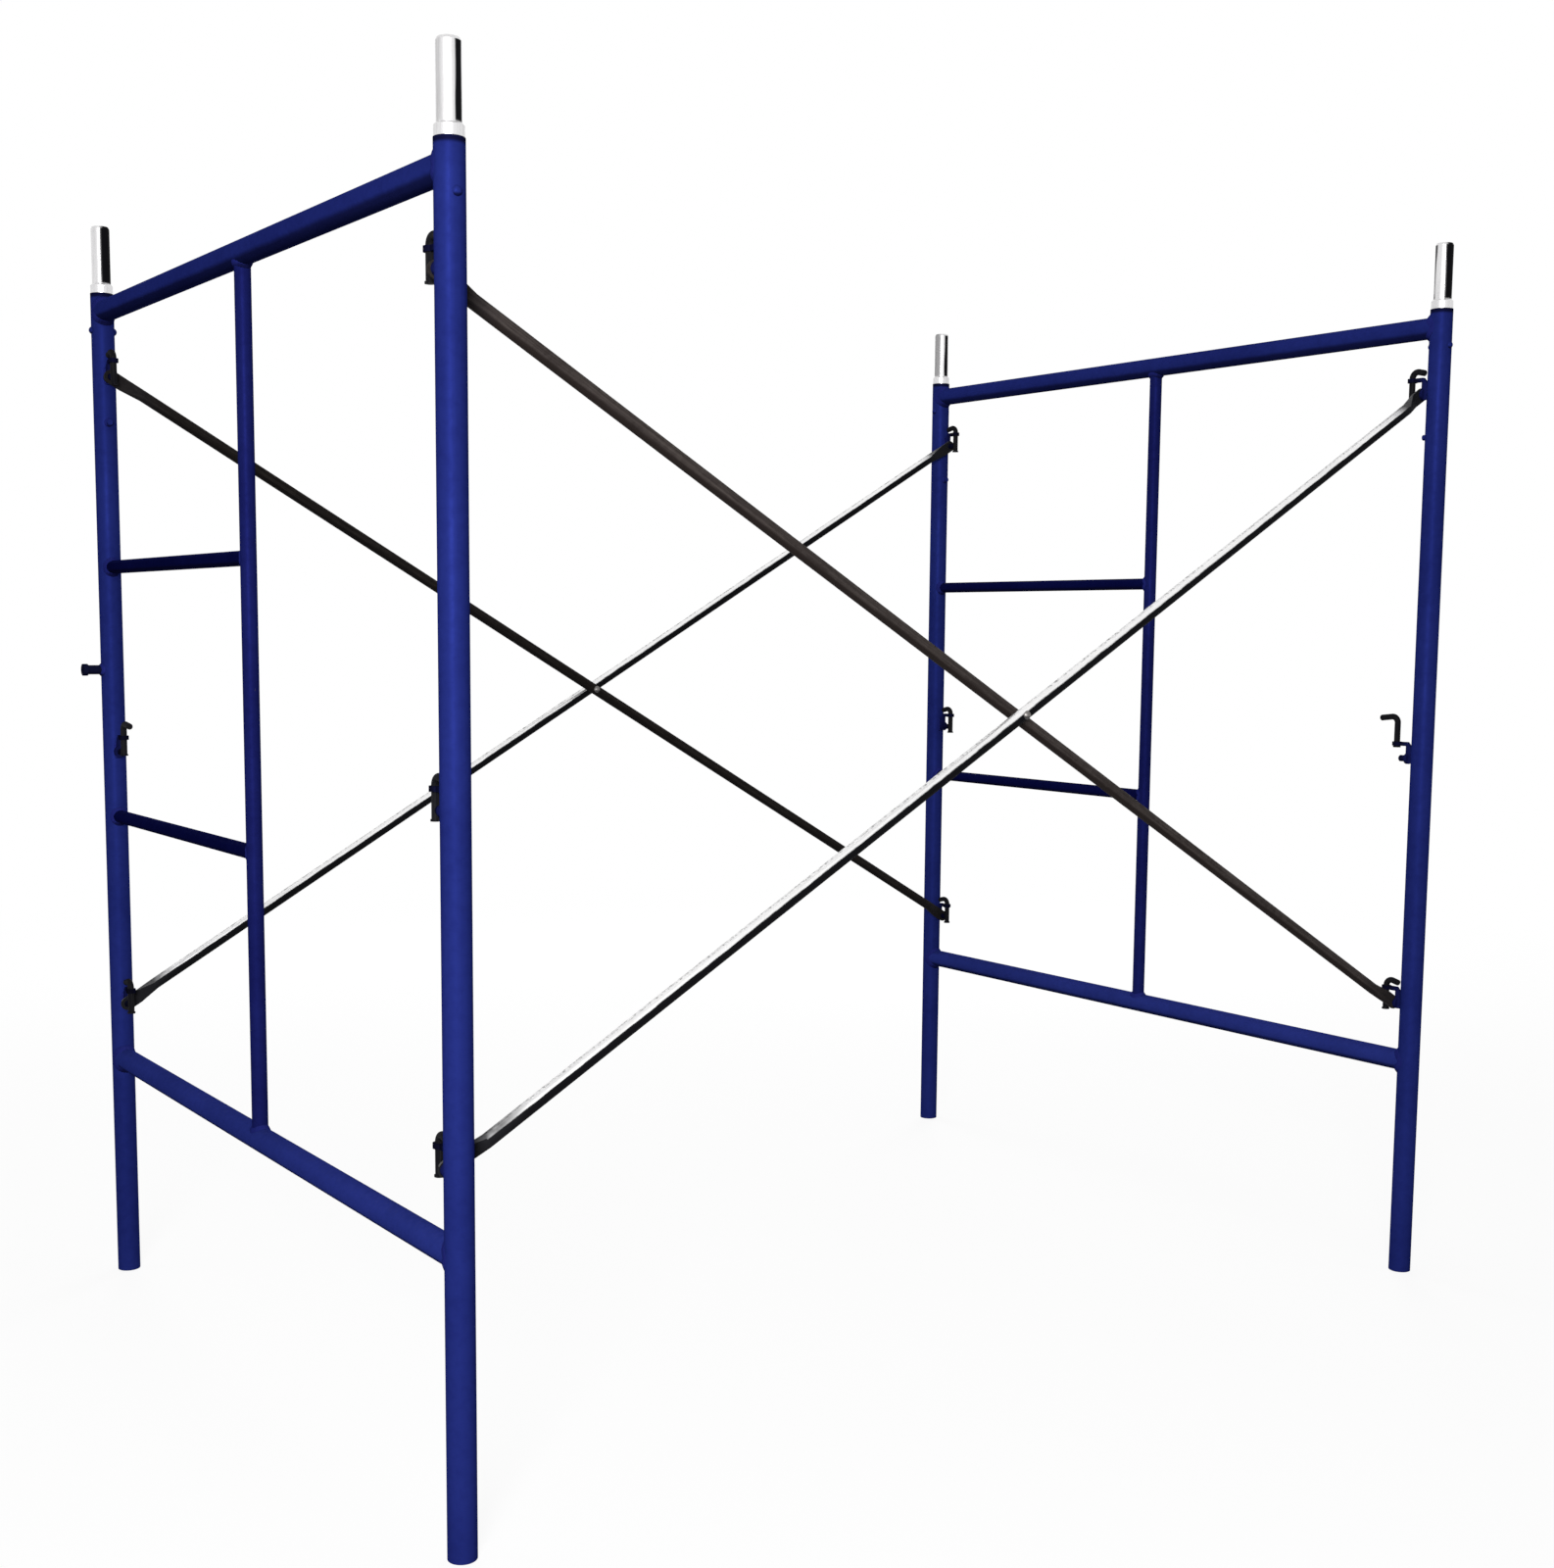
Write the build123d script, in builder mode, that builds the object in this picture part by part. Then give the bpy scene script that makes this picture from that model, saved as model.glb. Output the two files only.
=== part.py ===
"""Frame scaffold section: two ladder frames joined by two pairs of cross braces.

Millimetres, +Z up.  The origin lies on the ground at the centre of the four feet.
X runs along the bay from the left frame to the right one, Y from the near legs to the far legs.
"""
from build123d import *
import os
from math import asin, cos, hypot, radians, sin, tan

# ---------------------------------------------------------------- driving dimensions
bay_length = 2134.0            # left frame plane to right frame plane (7 ft bay)
frame_width = 1524.0           # over the outside of the two legs (5 ft frame)
leg_height = 1930.0            # foot to the top of the leg tube (6 ft 4 in frame)

leg_od = 42.7
leg_wall = 2.4
bar_od = 41.3                  # top and bottom bars
bar_wall = 2.4
post_od = 26.9
post_wall = 2.3
rung_od = 25.4
rung_wall = 2.0

bottom_bar_z = 435.0
top_bar_drop = 34.0            # top bar axis below the top of the leg
ladder_spaces = 3              # equal spaces between the two bars and the two rungs
ladder_share = 0.5             # ladder post to far leg, as a share of the leg spacing

stud_over_bottom_bar = 115.5   # lower brace stud above the bottom bar's axis
stud_under_top_bar = 126.5     # upper brace stud below the top bar's axis, so the two are 1219 (4 ft) apart
mid_stud_share = 0.41          # middle stud, as a share of the way from the lower to the upper one

pin_od = 34.0                  # coupling pin, above the collar
pin_wall = 3.0
pin_rise = 125.0               # pin above the top of the leg
pin_insert = 110.0             # pin inside the leg
pin_chamfer = 4.0
seat_step = 0.2                # the leg bore is swaged this much wider around the pin
seat_clearance = 0.05
collar_od = 41.0
collar_height = 18.0
collar_chamfer = 3.0
pin_rivet_od = 10.0
pin_rivet_drop = 70.0          # rivet axis below the top of the leg
rivet_clearance = 0.05         # radial, around each rivet shank
pin_rivet_head_od = 14.0
rivet_head_height = 5.0

# brace lock: a gusset on the leg's inner side with a stud, an ear and a bar that drops through the ear
gusset_thickness = 8.0
gusset_foot = 10.0             # gusset below the stud axis
gusset_root = 18.0             # top of the gusset's root on the leg, above the stud axis
stud_od = 12.7
stud_end_gap = 0.5             # stud end to the drop bar's head as it passes
stud_chamfer = 1.5
shoulder_od = 22.0
shoulder_thickness = 6.0
seat_offset = 36.0             # shoulder face from the leg axis
drop_bar_offset = 60.0         # drop bar axis from the leg axis
drop_bar_od = 12.0
drop_bar_clearance = 0.3       # radial, in the ear
ear_underside = 25.0           # above the stud axis
ear_thickness = 8.0
ear_rim = 3.0                  # metal around the drop bar's hole
ear_root = 2.0                 # where the ear's top leaves the slope, inside the shoulder face
bar_below_stud = 16.0          # lower end of the dropped bar below the stud axis
bend_gap = 0.3                 # start of the dropped bar's bend above its ear
bar_head_od = 15.0             # upset end that keeps the bar in its ear
bar_head_height = 3.0
bar_head_gap = 0.5             # left under the ear when the bar is fully raised
bend_radius = 12.0
arm_reach = 30.0               # end of the arm from the bar's axis
arm_slope = 14.0               # degrees below level, towards the arm's end
turned_arm_reach = 40.0        # the same on the bars whose arms are turned into the frame
turned_arm_slope = 7.0
arm_rounding = 3.0
left_far_mid_lift = 10.0       # this unused bar stands a little above its dropped place

brace_od = 22.0
brace_wall = 1.6
plate_thickness = 4.0          # flattened ends
plate_width = 26.0
plate_length = 26.0            # stud hole to the start of the taper
taper_length = 40.0
plate_corner = 0.8
round_end_flat = 0.08          # the tube's round end keeps flats this short, to loft to the plate
stud_slack = 0.5               # radial, brace end on its stud
pivot_od = 8.0
pivot_head_od = 15.0

peg_drop = 84.0                # small peg below each upper stud
peg_od = 11.0
peg_length = 8.0
stub_z = 1210.0                # stub on the outer side of the left far leg
stub_od = 18.0
stub_length = 36.0
stub_head_od = 23.0
stub_head_length = 9.0

# ---------------------------------------------------------------- worked out from them
leg_r = leg_od / 2
leg_bore_r = leg_r - leg_wall
pin_seat_r = leg_bore_r + seat_step
bar_r = bar_od / 2
post_r = post_od / 2
rung_r = rung_od / 2
brace_r = brace_od / 2
stud_r = stud_od / 2
drop_bar_r = drop_bar_od / 2

frame_x = {"left": -bay_length / 2, "right": bay_length / 2}
leg_y = {"near": -(frame_width - leg_od) / 2, "far": (frame_width - leg_od) / 2}
inward = {"near": 1, "far": -1}
top_bar_z = leg_height - top_bar_drop
ladder_pitch = (top_bar_z - bottom_bar_z) / ladder_spaces
rung_z = {"lower": bottom_bar_z + ladder_pitch, "upper": top_bar_z - ladder_pitch}
post_y = leg_y["far"] - ladder_share * (leg_y["far"] - leg_y["near"])
lower_stud_z = bottom_bar_z + stud_over_bottom_bar
upper_stud_z = top_bar_z - stud_under_top_bar
stud_spacing = upper_stud_z - lower_stud_z
mid_stud_z = lower_stud_z + mid_stud_share * stud_spacing
stud_z = {"lower": lower_stud_z, "mid": mid_stud_z, "upper": upper_stud_z}

ear_top = ear_underside + ear_thickness
ear_r = drop_bar_r + drop_bar_clearance + ear_rim
stud_tip = drop_bar_offset - bar_head_od / 2 - stud_end_gap
bar_travel = ear_underside + bar_below_stud - bar_head_height - bar_head_gap

# the mid studs carry no brace: their drop bars are parked at these heights above the dropped place
mid_lift = {
    ("left", "near"): 0.0,
    ("left", "far"): left_far_mid_lift,
    ("right", "near"): bar_travel,
    ("right", "far"): 0.0,
}
turned_arms = (("left", "far"), ("right", "near"))    # their middle drop bars point into the frame

crossing_offset = seat_offset + plate_thickness      # plane where the two braces of a pair touch
crossing_z = lower_stud_z + stud_spacing / 2
hole_distance = hypot(bay_length, stud_spacing)
tube_half = hole_distance / 2 - plate_length - taper_length

corners = [(frame, side) for frame in frame_x for side in leg_y]
up = (0, 0, 1)

os.makedirs("parts", exist_ok=True)


def save(part, node):
    """Label one sub-part and write it under its node name."""
    part.label = node
    export_step(part, f"parts/{node}.step")


def across(origin, direction):
    """Plane at origin whose normal is the given direction."""
    return Plane(origin=origin, z_dir=direction)


def lock_plane(frame, side, z):
    """Plane of a lock's side view: x is the distance from the leg axis into the frame, y is up."""
    turn = inward[side]
    return Plane(origin=(frame_x[frame], leg_y[side], z), x_dir=(0, turn, 0), z_dir=(turn, 0, 0))


def rivet_direction(side):
    """The near legs' pin rivets lie along Y and the far legs' along X."""
    return (0, 1, 0) if side == "near" else (1, 0, 0)


# ---------------------------------------------------------------- legs, bars, posts and rungs
def make_leg(frame, side):
    foot = Plane(origin=(frame_x[frame], leg_y[side], 0))
    rivet_plane = across((frame_x[frame], leg_y[side], leg_height - pin_rivet_drop), rivet_direction(side))
    with BuildPart() as leg:
        with BuildSketch(foot):
            Circle(leg_r)
            Circle(leg_bore_r, mode=Mode.SUBTRACT)
        extrude(amount=leg_height)
        with BuildSketch(foot.offset(leg_height - pin_insert)):
            Circle(pin_seat_r)
        extrude(amount=pin_insert, mode=Mode.SUBTRACT)
        with BuildSketch(rivet_plane):
            Circle(pin_rivet_od / 2 + rivet_clearance)
        extrude(amount=leg_od, both=True, mode=Mode.SUBTRACT)
    save(leg.part, f"{frame}_{side}_leg")


def make_cross_tube(frame, node, z, radius, wall, y_start, start_r, y_end, end_r):
    """Tube along Y between two uprights, its ends coped to their outsides."""
    x = frame_x[frame]
    with BuildPart() as tube:
        with BuildSketch(across((x, y_start, z), (0, 1, 0))):
            Circle(radius)
            Circle(radius - wall, mode=Mode.SUBTRACT)
        extrude(amount=y_end - y_start)
        for y, upright_r in ((y_start, start_r), (y_end, end_r)):
            with BuildSketch(Plane(origin=(x, y, z - 2 * radius))):
                Circle(upright_r)
            extrude(amount=4 * radius, mode=Mode.SUBTRACT)
    save(tube.part, f"{frame}_{node}")


def make_ladder_post(frame):
    """Upright between the two bars, its ends coped to them."""
    x = frame_x[frame]
    with BuildPart() as post:
        with BuildSketch(Plane(origin=(x, post_y, bottom_bar_z))):
            Circle(post_r)
            Circle(post_r - post_wall, mode=Mode.SUBTRACT)
        extrude(amount=top_bar_z - bottom_bar_z)
        for z in (bottom_bar_z, top_bar_z):
            with BuildSketch(across((x, post_y - 2 * post_r, z), (0, 1, 0))):
                Circle(bar_r)
            extrude(amount=4 * post_r, mode=Mode.SUBTRACT)
    save(post.part, f"{frame}_ladder_post")


# ---------------------------------------------------------------- coupling pins and their rivets
def make_coupling_pin(frame, side):
    """Turned pin: a seat in the leg, a collar on the leg's end and a spigot for the next frame."""
    x, y = frame_x[frame], leg_y[side]
    profile = Plane(origin=(x, y, leg_height), x_dir=(1, 0, 0), z_dir=(0, -1, 0))
    seat_r = pin_seat_r - seat_clearance
    pin_r = pin_od / 2
    collar_r = collar_od / 2
    outline = [
        (pin_r - pin_wall, -pin_insert),
        (seat_r, -pin_insert),
        (seat_r, 0),
        (collar_r, 0),
        (collar_r, collar_height - collar_chamfer),
        (collar_r - collar_chamfer, collar_height),
        (pin_r, collar_height),
        (pin_r, pin_rise - pin_chamfer),
        (pin_r - pin_chamfer / 2, pin_rise),
        (pin_r - pin_wall, pin_rise),
    ]
    rivet_plane = across((x, y, leg_height - pin_rivet_drop), rivet_direction(side))
    with BuildPart() as pin:
        with BuildSketch(profile):
            with BuildLine():
                Polyline(*outline, close=True)
            make_face()
        revolve(axis=Axis((x, y, 0), up))
        with BuildSketch(rivet_plane):
            Circle(pin_rivet_od / 2 + rivet_clearance)
        extrude(amount=leg_od, both=True, mode=Mode.SUBTRACT)
    save(pin.part, f"{frame}_{side}_coupling_pin")


def make_rivet(node, centre, direction, shank_od, head_od, grip):
    """Round-headed rivet: a shank of the given grip between two domed heads."""
    head_r = head_od / 2
    dome_r = (head_r**2 + rivet_head_height**2) / (2 * rivet_head_height)
    dome_centre = grip / 2 + rivet_head_height - dome_r
    half_turn = asin(head_r / dome_r) / 2
    dome_mid = (dome_centre + dome_r * cos(half_turn), dome_r * sin(half_turn))
    dome_top = grip / 2 + rivet_head_height
    with BuildPart() as rivet:
        with BuildSketch(Plane(origin=centre, x_dir=direction, z_dir=rivet_normal(direction))):
            with BuildLine():
                ThreePointArc((-dome_top, 0), (-dome_mid[0], dome_mid[1]), (-grip / 2, head_r))
                Polyline(
                    (-grip / 2, head_r),
                    (-grip / 2, shank_od / 2),
                    (grip / 2, shank_od / 2),
                    (grip / 2, head_r),
                )
                ThreePointArc((grip / 2, head_r), dome_mid, (dome_top, 0))
                Line((dome_top, 0), (-dome_top, 0))
            make_face()
        revolve(axis=Axis(centre, direction))
    save(rivet.part, node)


def rivet_normal(direction):
    """Normal of a plane that holds a horizontal rivet's axis."""
    return (-direction[1], direction[0], 0)


# ---------------------------------------------------------------- brace locks
def make_lock(frame, side, level):
    """Gusset welded to the leg, with a shouldered stud and an ear for the drop bar."""
    z = stud_z[level]
    view = lock_plane(frame, side, z)
    turn = inward[side]
    weld_edge = leg_r - gusset_thickness / 2
    side_view = [
        (weld_edge, -gusset_foot),
        (seat_offset, -gusset_foot),
        (seat_offset, ear_underside),
        (drop_bar_offset, ear_underside),
        (drop_bar_offset, ear_top),
        (seat_offset - ear_root, ear_top),
        (leg_r, gusset_root),
        (weld_edge, gusset_root),
    ]
    stud_profile = [
        (seat_offset - shoulder_thickness, 0),
        (seat_offset - shoulder_thickness, shoulder_od / 2),
        (seat_offset, shoulder_od / 2),
        (seat_offset, stud_r),
        (stud_tip - stud_chamfer, stud_r),
        (stud_tip, stud_r - stud_chamfer),
        (stud_tip, 0),
    ]
    ear_centre = (frame_x[frame], leg_y[side] + turn * drop_bar_offset, z + ear_underside)
    with BuildPart() as lock:
        with BuildSketch(view):
            with BuildLine():
                Polyline(*side_view, close=True)
            make_face()
        extrude(amount=gusset_thickness / 2, both=True)
        with BuildSketch(Plane(origin=ear_centre)):
            Circle(ear_r)
        extrude(amount=ear_thickness)
        with BuildSketch(view):
            with BuildLine():
                Polyline(*stud_profile, close=True)
            make_face()
        revolve(axis=Axis(view.origin, (0, turn, 0)))
        with BuildSketch(Plane(origin=ear_centre)):
            Circle(drop_bar_r + drop_bar_clearance)
        extrude(amount=ear_thickness, mode=Mode.SUBTRACT)
        with BuildSketch(Plane(origin=(frame_x[frame], leg_y[side], z - 2 * gusset_foot))):
            Circle(leg_r)
        extrude(amount=2 * gusset_foot + ear_top, mode=Mode.SUBTRACT)
    save(lock.part, f"{frame}_{side}_{level}_lock")


def make_drop_bar(frame, side, level):
    """Bent bar that drops through the ear in front of the stud; its arm is the finger grip."""
    lift = mid_lift[frame, side] if level == "mid" else 0.0
    if level == "mid" and (frame, side) in turned_arms:
        reach = turned_arm_reach
        slope = radians(turned_arm_slope)
    else:
        reach = -arm_reach
        slope = radians(arm_slope)
    corner = ear_top + bend_gap + bend_radius * tan(radians(45) + slope / 2)
    arm_end = (drop_bar_offset + reach, corner - abs(reach) * tan(slope))
    z = stud_z[level] + lift
    foot = (frame_x[frame], leg_y[side] + inward[side] * drop_bar_offset, z - bar_below_stud)
    arm_tip = (frame_x[frame], leg_y[side] + inward[side] * arm_end[0], z + arm_end[1])
    with BuildPart() as drop_bar:
        with BuildLine(lock_plane(frame, side, z)) as bend:
            FilletPolyline(
                (drop_bar_offset, -bar_below_stud),
                (drop_bar_offset, corner),
                arm_end,
                radius=bend_radius,
            )
        with BuildSketch(Plane(origin=foot)):
            Circle(drop_bar_r)
        sweep(path=bend.wires()[0])
        end_face = drop_bar.faces().filter_by(GeomType.PLANE).sort_by_distance(arm_tip)[0]
        fillet(end_face.edges(), arm_rounding)
        with BuildSketch(Plane(origin=foot)):
            Circle(bar_head_od / 2)
        extrude(amount=bar_head_height)
    save(drop_bar.part, f"{frame}_{side}_{level}_drop_bar")


# ---------------------------------------------------------------- cross braces
def make_brace(side, slope):
    """Tube with flattened, drilled ends, hung on a lower stud of one frame and an upper one of the other.

    The rising brace of a pair lies outside the crossing plane and the falling one inside it.
    """
    if slope == "rising":
        rise = stud_spacing
        away = -inward[side]
    else:
        rise = -stud_spacing
        away = inward[side]
    centre = (0, leg_y[side] + inward[side] * crossing_offset, crossing_z)
    along = (bay_length / hole_distance, 0, rise / hole_distance)
    section = Plane(origin=centre, x_dir=(0, away, 0), z_dir=along)
    flat = Plane(origin=centre, x_dir=along, z_dir=(0, away, 0))
    hole_r = stud_r + stud_slack
    with BuildPart() as brace:
        with BuildSketch(section):
            with Locations((brace_r, 0)):
                Circle(brace_r)
                Circle(brace_r - brace_wall, mode=Mode.SUBTRACT)
        extrude(amount=tube_half, both=True)
        for end in (-1, 1):
            with BuildSketch(section.offset(end * tube_half)):
                with Locations((brace_r, 0)):
                    RectangleRounded(brace_od, brace_od, brace_r - round_end_flat)
            with BuildSketch(section.offset(end * (tube_half + taper_length))):
                with Locations((plate_thickness / 2, 0)):
                    RectangleRounded(plate_thickness, plate_width, plate_corner)
            loft()
            with BuildSketch(flat):
                with Locations((end * (hole_distance / 2 - plate_length / 2), 0)):
                    Rectangle(plate_length, plate_width)
                with Locations((end * hole_distance / 2, 0)):
                    Circle(plate_width / 2)
                    Circle(hole_r, mode=Mode.SUBTRACT)
            extrude(amount=plate_thickness)
        with BuildSketch(flat):
            Circle(pivot_od / 2 + rivet_clearance)
        extrude(amount=brace_od, mode=Mode.SUBTRACT)
    save(brace.part, f"{side}_{slope}_brace")


# ---------------------------------------------------------------- small fittings
def make_pegs():
    """One short peg on each leg's inner side, below its upper lock."""
    with BuildPart() as pegs:
        for frame, side in corners:
            x, y, turn = frame_x[frame], leg_y[side], inward[side]
            with BuildSketch(across((x, y, upper_stud_z - peg_drop), (0, turn, 0))):
                Circle(peg_od / 2)
            extrude(amount=leg_r + peg_length)
            with BuildSketch(Plane(origin=(x, y, upper_stud_z - peg_drop - peg_od))):
                Circle(leg_r)
            extrude(amount=2 * peg_od, mode=Mode.SUBTRACT)
    save(pegs.part, "leg_pegs")


def make_stub():
    """Headed stub on the outer side of the left far leg."""
    x, y = frame_x["left"], leg_y["far"]
    with BuildPart() as stub:
        with BuildSketch(across((x, y, stub_z), (-1, 0, 0))):
            Circle(stub_od / 2)
        extrude(amount=leg_r + stub_length)
        with BuildSketch(across((x - leg_r - stub_length, y, stub_z), (1, 0, 0))):
            Circle(stub_head_od / 2)
        extrude(amount=stub_head_length)
        with BuildSketch(Plane(origin=(x, y, stub_z - stub_od))):
            Circle(leg_r)
        extrude(amount=2 * stub_od, mode=Mode.SUBTRACT)
    save(stub.part, "left_far_stub")


# ---------------------------------------------------------------- the assembly
for frame, side in corners:
    make_leg(frame, side)
    make_coupling_pin(frame, side)
    rivet_centre = (frame_x[frame], leg_y[side], leg_height - pin_rivet_drop)
    direction = rivet_direction(side)
    make_rivet(f"{frame}_{side}_pin_rivet", rivet_centre, direction, pin_rivet_od, pin_rivet_head_od, leg_od)
    for level in stud_z:
        make_lock(frame, side, level)
        make_drop_bar(frame, side, level)

for frame in frame_x:
    for name, z in (("bottom_bar", bottom_bar_z), ("top_bar", top_bar_z)):
        make_cross_tube(frame, name, z, bar_r, bar_wall, leg_y["near"], leg_r, leg_y["far"], leg_r)
    for name, z in rung_z.items():
        make_cross_tube(frame, f"{name}_rung", z, rung_r, rung_wall, post_y, post_r, leg_y["far"], leg_r)
    make_ladder_post(frame)

for side in leg_y:
    for slope in ("rising", "falling"):
        make_brace(side, slope)
    pivot_centre = (0, leg_y[side] + inward[side] * crossing_offset, crossing_z)
    make_rivet(f"{side}_brace_rivet", pivot_centre, (0, 1, 0), pivot_od, pivot_head_od, 2 * brace_od)

make_pegs()
make_stub()
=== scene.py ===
import math

import bpy
import numpy as np
from mathutils import Euler, Matrix, Vector


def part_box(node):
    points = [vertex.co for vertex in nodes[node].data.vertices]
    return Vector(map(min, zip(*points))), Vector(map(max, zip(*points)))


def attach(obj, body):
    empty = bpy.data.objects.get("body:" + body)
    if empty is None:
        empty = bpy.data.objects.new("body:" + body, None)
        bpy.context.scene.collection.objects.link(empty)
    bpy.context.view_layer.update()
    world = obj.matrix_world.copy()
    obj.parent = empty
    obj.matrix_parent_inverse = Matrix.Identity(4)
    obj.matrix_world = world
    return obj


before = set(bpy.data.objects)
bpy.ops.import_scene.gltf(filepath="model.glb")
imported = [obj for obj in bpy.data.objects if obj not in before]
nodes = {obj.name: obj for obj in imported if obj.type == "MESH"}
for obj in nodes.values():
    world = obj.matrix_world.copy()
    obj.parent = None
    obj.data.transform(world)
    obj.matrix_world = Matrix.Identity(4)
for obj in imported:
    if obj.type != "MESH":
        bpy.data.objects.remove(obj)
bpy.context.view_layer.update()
frameNames = ("left", "right")
sideNames = ("near", "far")
levelNames = ("lower", "mid", "upper")
inward = {"near": 1.0, "far": -1.0}  # from each leg towards the middle of its frame
alongX, alongY, alongZ = np.eye(3)
print("frame loaded:", len(nodes), "nodes")


# places and radii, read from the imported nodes
def boxOf(name):
    low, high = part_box(name)
    return np.array(low), np.array(high)


def centreOf(name):
    low, high = boxOf(name)
    return (low + high) / 2


def halfSizeOf(name):
    low, high = boxOf(name)
    return (high - low) / 2


def heightOf(name):
    return centreOf(name)[2]


legRadius = halfSizeOf("left_near_leg")[0]
barRadius = halfSizeOf("left_top_bar")[2]
postRadius = halfSizeOf("left_ladder_post")[0]
rungRadius = halfSizeOf("left_upper_rung")[2]
legAxis = {(f, s): centreOf(f"{f}_{s}_leg") * (1, 1, 0) for f in frameNames for s in sideNames}
groundCentre = sum(legAxis.values()) / len(legAxis)
legTop = float(boxOf("left_near_leg")[1][2])
frameHalf = abs(float(legAxis["left", "far"][1] - groundCentre[1]))  # from the middle to a leg's axis
bayHalf = abs(float(legAxis["right", "near"][0] - groundCentre[0]))  # from the middle to a frame's plane
braceHalf = halfSizeOf("near_rising_brace")
braceSlope = math.atan2(braceHalf[2], braceHalf[0])

# the camera stands at the height of a person's chest, off the near left leg
cameraFacts = dict(
    place=(-2.2209, -3.0476, 1.3015),
    turnDegrees=35.9064,  # from +Y towards +X
    downDegrees=6.0917,
    rollDegrees=0.4578,
    lensMm=43.645,
    shiftX=0.0068,
    shiftY=0.0299,
    clipEnd=60.0,
)


def makeCamera():
    facts = cameraFacts
    cameraData = bpy.data.cameras.new("camera")
    cameraData.lens = facts["lensMm"]
    cameraData.shift_x = facts["shiftX"]
    cameraData.shift_y = facts["shiftY"]
    cameraData.clip_end = facts["clipEnd"]
    camera = bpy.data.objects.new("camera", cameraData)
    aim = Euler((math.radians(90 - facts["downDegrees"]), 0, -math.radians(facts["turnDegrees"])))
    turn = aim.to_matrix() @ Matrix.Rotation(math.radians(facts["rollDegrees"]), 3, "Z")
    camera.matrix_world = Matrix.Translation(facts["place"]) @ turn.to_4x4()
    bpy.context.scene.collection.objects.link(camera)
    bpy.context.scene.camera = camera


makeCamera()
print("camera placed")


# short calls for one node tree; all but node return the output socket they made
class NodeKit:
    def __init__(self, tree):
        self.tree = tree

    def put(self, target, value):
        if isinstance(value, bpy.types.NodeSocket):
            self.tree.links.new(value, target)
        else:
            target.default_value = value

    def node(self, kind, settings=None, **inputs):
        made = self.tree.nodes.new(kind)
        for key, value in (settings or {}).items():
            setattr(made, key, value)
        for key, value in inputs.items():
            self.put(made.inputs[key.replace("_", " ")], value)
        return made

    def math(self, operation, first, second=0.0, clamp=False):
        made = self.tree.nodes.new("ShaderNodeMath")
        made.operation = operation
        made.use_clamp = clamp
        self.put(made.inputs[0], first)
        self.put(made.inputs[1], second)
        return made.outputs[0]

    def ramp(self, value, low, high, outLow=0.0, outHigh=1.0):
        made = self.tree.nodes.new("ShaderNodeMapRange")
        made.interpolation_type = "SMOOTHSTEP"
        slots = ("Value", "From Min", "From Max", "To Min", "To Max")
        for slot, number in zip(slots, (value, low, high, outLow, outHigh)):
            self.put(made.inputs[slot], number)
        return made.outputs["Result"]

    def mixColor(self, factor, first, second):
        made = self.tree.nodes.new("ShaderNodeMix")
        made.data_type = "RGBA"
        self.put(made.inputs["Factor"], factor)
        self.put(made.inputs[6], first)
        self.put(made.inputs[7], second)
        return made.outputs[2]

    def mixValue(self, factor, first, second):
        made = self.tree.nodes.new("ShaderNodeMix")
        self.put(made.inputs["Factor"], factor)
        self.put(made.inputs[2], first)
        self.put(made.inputs[3], second)
        return made.outputs[0]

    def noise(self, vector, scale, detail=2.0, roughness=0.5):
        inputs = dict(Vector=vector, Scale=scale, Detail=detail, Roughness=roughness)
        return self.node("ShaderNodeTexNoise", None, **inputs).outputs["Fac"]

    def wander(self, vector, scale, reach, detail=2.0, roughness=0.5):
        # noise spread to both sides of nothing, as far as reach
        return self.ramp(self.noise(vector, scale, detail, roughness), 0.3, 0.7, -reach, reach)

    def along(self, axis, vector):
        return self.node("ShaderNodeSeparateXYZ", None, Vector=vector).outputs[axis]

    def turned(self, vector, angle):
        # about Y, so that a tube in a frame's or a brace's plane lies along X
        return self.node("ShaderNodeMapping", None, Vector=vector, Rotation=(0.0, angle, 0.0)).outputs[0]

    def stretched(self, vector, scale):
        made = self.node("ShaderNodeVectorMath", {"operation": "MULTIPLY"})
        self.put(made.inputs[0], vector)
        self.put(made.inputs[1], scale)
        return made.outputs[0]


def newGroup(name, inputs, outputs):
    group = bpy.data.node_groups.new(name, "ShaderNodeTree")
    for label, kind, value in inputs:
        socket = group.interface.new_socket(name=label, in_out="INPUT", socket_type=kind)
        if value is not None:
            socket.default_value = value
    for label, kind in outputs:
        group.interface.new_socket(name=label, in_out="OUTPUT", socket_type=kind)
    kit = NodeKit(group)
    entry = group.nodes.new("NodeGroupInput").outputs
    leave = group.nodes.new("NodeGroupOutput").inputs
    return group, kit, entry, leave


colorKind, valueKind, vectorKind = "NodeSocketColor", "NodeSocketFloat", "NodeSocketVector"


# mottle: slow and fine changes of tone, with the bump that goes with them
mottleFacts = dict(slowBand=(0.35, 0.65), slowShare=0.6, fineBand=(0.40, 0.66), fineShare=0.4)


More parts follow.
